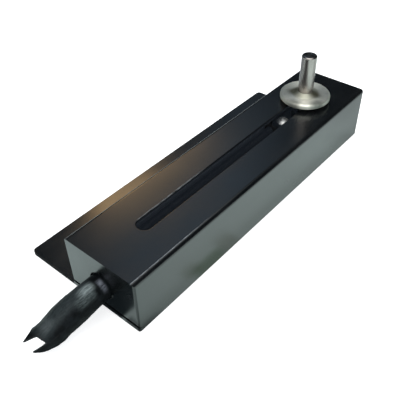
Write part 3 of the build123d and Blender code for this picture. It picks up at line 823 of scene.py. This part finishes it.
# The lead's black sleeve, torn off into two pointed tails. Lengths are in millimetres.
sleeve = {
    "path": [
        (-42.5, -7.3, 7.0), (-48.1, -7.3, 7.0), (-54.0, -6.9, 6.05), (-59.8, -6.8, 4.15),
        (-64.2, -4.9, 3.9),
    ],
    "steps": (260, 129),
    "weld": 0.0004,
    "tornAt": (-62.9, -5.4, 3.9),
    # The direction it is torn through, as its azimuth and its fall in degrees
    "tornAlong": (66.3, 52.8),
    "radiusAtWall": 2.95,
    "radiusMidway": 3.25,
    "radiusAtTear": 2.9,
    "wall": 0.45,
    # Shares of the length, from the wall to the tear, over which it swells, tapers and creases
    "swell": (0.12, 0.60),
    "taper": (0.66, 1.0),
    "creased": (0.10, 0.30),
    "foldDepth": 0.22,
    "foldLength": 2.6,
    "foldsAround": 0.9,
    "jaggedness": 0.5,
    "jagSize": (0.09, 0.09, 1.0),
    "seed": 7.0,
    # Pairs: a place across the torn end, and how far past the torn point the sleeve reaches there
    "tear": [
        (-3.3, -6.2), (-2.65, -3.5), (-2.28, -2.25), (-1.8, -1.10), (-1.38, -0.35), (-1.30, -0.30),
        (-1.26, -2.6), (-1.18, -3.1), (-0.7, -2.95), (0.05, -2.60), (0.97, -2.27), (1.20, -2.10),
        (1.26, 0.50), (1.70, -0.20), (2.22, -1.05), (2.86, -2.17), (3.3, -3.0),
    ],
    "shade": (0.0036, 0.0046, 0.0052, 1.0),
    "dusty": (0.010, 0.013, 0.015, 1.0),
    "dustyAt": (0.45, 0.80),
    "cloudSize": (1.6, 1.6, 1.6),
    "creaseSize": (1.3, 0.28, 0.28),
    "creaseDepth": 0.05,
    # Painted highlights, a painted reflection and lighter lit patches along the top, each of at least this
    # strength between the creases
    "paintedHighlightsAt": (0.35, 0.65),
    "paintedHighlights": [
        {"x": (-62.0, -60.0, -49.0, -46.5), "y": (-9.2, -8.0, -6.4, -4.6), "z": (3.6, 6.2),
         "least": 0.55, "colour": (0.025, 0.032, 0.034, 1.0)},
        {"x": (-60.7, -59.2, -58.4, -56.8), "y": (-8.3, -7.5, -6.8, -5.2), "z": (5.5, 6.5),
         "least": 0.60, "colour": (0.054, 0.064, 0.066, 1.0)},
        {"x": (-53.5, -51.0, -49.0, -47.5), "y": (-10.1, -9.3, -8.6, -7.6), "z": (7.6, 8.4),
         "least": 0.15, "colour": (0.070, 0.087, 0.087, 1.0)},
        {"x": (-51.9, -49.4, -48.4, -46.9), "y": (-9.0, -8.0, -7.4, -6.1), "z": (7.6, 8.8),
         "least": 0.30, "colour": (0.21, 0.25, 0.25, 1.0)},
        {"x": (-47.1, -46.3, -46.0, -45.2), "y": (-10.6, -9.0, -8.2, -7.3), "z": (7.0, 8.6),
         "least": 0.10, "colour": (0.165, 0.180, 0.210, 1.0)},
    ],
    "gloss": (0.28, 0.45),
    "glossAt": (0.35, 0.70),
    "shine": 0.06,
}


def sleevePath():
    curve = bpy.data.curves.new("sleevePath", "CURVE")
    curve.dimensions = "3D"
    curve.resolution_u = 24
    spline = curve.splines.new("NURBS")
    spline.points.add(len(sleeve["path"]) - 1)
    for point, place in zip(spline.points, sleeve["path"]):
        point.co = (*[part * mm for part in place], 1.0)
    spline.order_u = 3
    spline.use_endpoint_u = True
    return link(bpy.data.objects.new("sleevePath", curve))


def tearFrame():
    # Directions along the tube's last stretch, and through and across the tear. The last two
    # numbers say how far that stretch leans into the tear, and what is left of it across.
    azimuth, elevation = (radians(angle) for angle in sleeve["tornAlong"])
    through = Vector((cos(azimuth) * cos(elevation), sin(azimuth) * cos(elevation), -sin(elevation)))
    run = (Vector(sleeve["path"][-1]) - Vector(sleeve["path"][-2])).normalized()
    slant = run.dot(through)
    along = run - through * slant
    return run, through, through.cross(along.normalized()), slant, along.length


def sleeveTree():
    tree = bpy.data.node_groups.new("tornSleeve", "GeometryNodeTree")
    given = grownInputs(tree, {
        "Path": "Object", "Radius at wall": "Float", "Radius midway": "Float", "Radius at tear": "Float",
        "Wall": "Float", "Fold depth": "Float", "Fold length": "Float", "Jaggedness": "Float",
        "Path past tear": "Float", "Seed": "Float", "Material": "Material",
    })
    path = Signal.node(tree, "GeometryNodeObjectInfo", {}, {"Object": given["Path"]}, "Geometry")
    length = Signal.node(tree, "GeometryNodeCurveLength", {}, {"Curve": path})
    stepsAlong, stepsAround = sleeve["steps"]
    sheet = Signal.node(tree, "GeometryNodeMeshGrid", {}, {
        "Size X": 1.0, "Size Y": 1.0, "Vertices X": stepsAlong, "Vertices Y": stepsAround,
    })
    lengthwise, around = Signal.node(tree, "GeometryNodeInputPosition").parts()[:2]
    lengthwise = lengthwise + 0.5
    angle = around * (2 * pi)

    # One closed profile: out along the outer skin, over the torn rim, back inside, out at the start.
    rimStart, rimEnd, wallEnd = 0.56, 0.58, 0.99
    outward = lengthwise.ramp(0.0, rimStart)
    back = lengthwise.ramp(rimEnd, wallEnd, 1.0, 0.0)
    reach = outward.orLess(back)
    depth = lengthwise.rise(rimStart, rimEnd) - lengthwise.rise(wallEnd, 1.0)

    # The ring's own directions at the torn end decide how far each line along the tube reaches.
    run, through, across, slant, stretch = tearFrame()
    side = run.cross(Vector((0, 0, 1))).normalized()
    rise = side.cross(run)
    cosine, sine = angle.cosine(), angle.sine()
    endRadius = given["Radius at tear"]
    place = (cosine * side.dot(across) + sine * rise.dot(across)) * endRadius
    ahead = (cosine * side.dot(through) + sine * rise.dot(through)) * endRadius * (-slant / stretch)
    spin = Signal.node(tree, "ShaderNodeCombineXYZ", {}, {0: cosine, 1: sine, 2: given["Seed"]})
    rag = spin.noise(sleeve["jagSize"], detail=3.0, roughness=0.7) - 0.5
    torn = place.along(sleeve["tear"]) + rag * given["Jaggedness"]
    reached = length / mm - given["Path past tear"] + (torn - ahead) * (1 / stretch)

    sample = {"Curves": path, "Length": reach * reached * mm}
    middle = Signal.node(tree, "GeometryNodeSampleCurve", {"mode": "LENGTH"}, sample, "Position")
    heading = Signal(tree, middle.socket.node.outputs["Tangent"])
    flat = heading.vector("CROSS_PRODUCT", (0.0, 0.0, 1.0)).vector("NORMALIZE")
    steep = flat.vector("CROSS_PRODUCT", heading)
    spoke = flat.scaled(cosine).vector("ADD", steep.scaled(sine))

    swell = reach.rise(*sleeve["swell"])
    taper = reach.rise(*sleeve["taper"])
    radius = given["Radius at wall"] * (1.0 - swell) + given["Radius midway"] * swell
    radius = radius * (1.0 - taper) + given["Radius at tear"] * taper
    girth = sleeve["foldsAround"]
    crease = Signal.node(tree, "ShaderNodeCombineXYZ", {}, {
        0: reach * reached / given["Fold length"],
        1: cosine * girth,
        2: sine * girth + given["Seed"],
    })
    folds = crease.noise((1.0, 1.0, 1.0), detail=3.0, roughness=0.55) - 0.5
    folds = folds * given["Fold depth"] * 2.0 * reach.rise(*sleeve["creased"])
    radius = radius + folds - depth * given["Wall"]
    placed = middle.vector("ADD", spoke.scaled(radius * mm))
    skin = Signal.node(tree, "GeometryNodeSetPosition", {}, {"Geometry": sheet, "Position": placed})
    closeTree(tree, skin, given["Material"])
    return tree


def sleeveFinish():
    # Soft black plastic, creased lengthwise and dusty, with highlights painted grey along its top.
    material = newFinish("blackSleeve")
    place = placeOn(material.node_tree)
    clouds = place.noise(sleeve["cloudSize"], detail=4.0, roughness=0.6)
    creases = place.noise(sleeve["creaseSize"], detail=3.0, roughness=0.7)
    x, y, z = place.parts()
    shade = clouds.ramp(*sleeve["dustyAt"]).blend(sleeve["shade"], sleeve["dusty"])
    # Painted highlights and reflection: lighter patches where the top of the tube catches the light
    for litPatch in sleeve["paintedHighlights"]:
        share = x.band(*litPatch["x"]) * y.band(*litPatch["y"]) * z.rise(*litPatch["z"])
        share = share * creases.ramp(*sleeve["paintedHighlightsAt"], litPatch["least"], 1.0)
        shade = share.blend(shade, litPatch["colour"])
    return closeFinish(material, {
        "Base Color": shade,
        "Roughness": clouds.ramp(*sleeve["glossAt"], *sleeve["gloss"]),
        "Specular IOR Level": sleeve["shine"],
        "Normal": bumped(creases, sleeve["creaseDepth"]),
    })


def makeSleeve():
    path = sleevePath()
    past = Vector(sleeve["path"][-1]) - Vector(sleeve["tornAt"])
    piece = grow("sleeveSkin", sleeveTree(), {
        "Path": path,
        "Radius at wall": sleeve["radiusAtWall"],
        "Radius midway": sleeve["radiusMidway"],
        "Radius at tear": sleeve["radiusAtTear"],
        "Wall": sleeve["wall"],
        "Fold depth": sleeve["foldDepth"],
        "Fold length": sleeve["foldLength"],
        "Jaggedness": sleeve["jaggedness"],
        "Path past tear": past.length,
        "Seed": sleeve["seed"],
        "Material": sleeveFinish(),
    })
    bpy.data.objects.remove(path)
    faceOutward(piece, sleeve["weld"] * mm)
    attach(piece, "housing")
    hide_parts("cable_sleeve")
    return piece


makeSleeve()
print("sleeve made")

view = bpy.context.scene.view_settings
view.view_transform = "Standard"
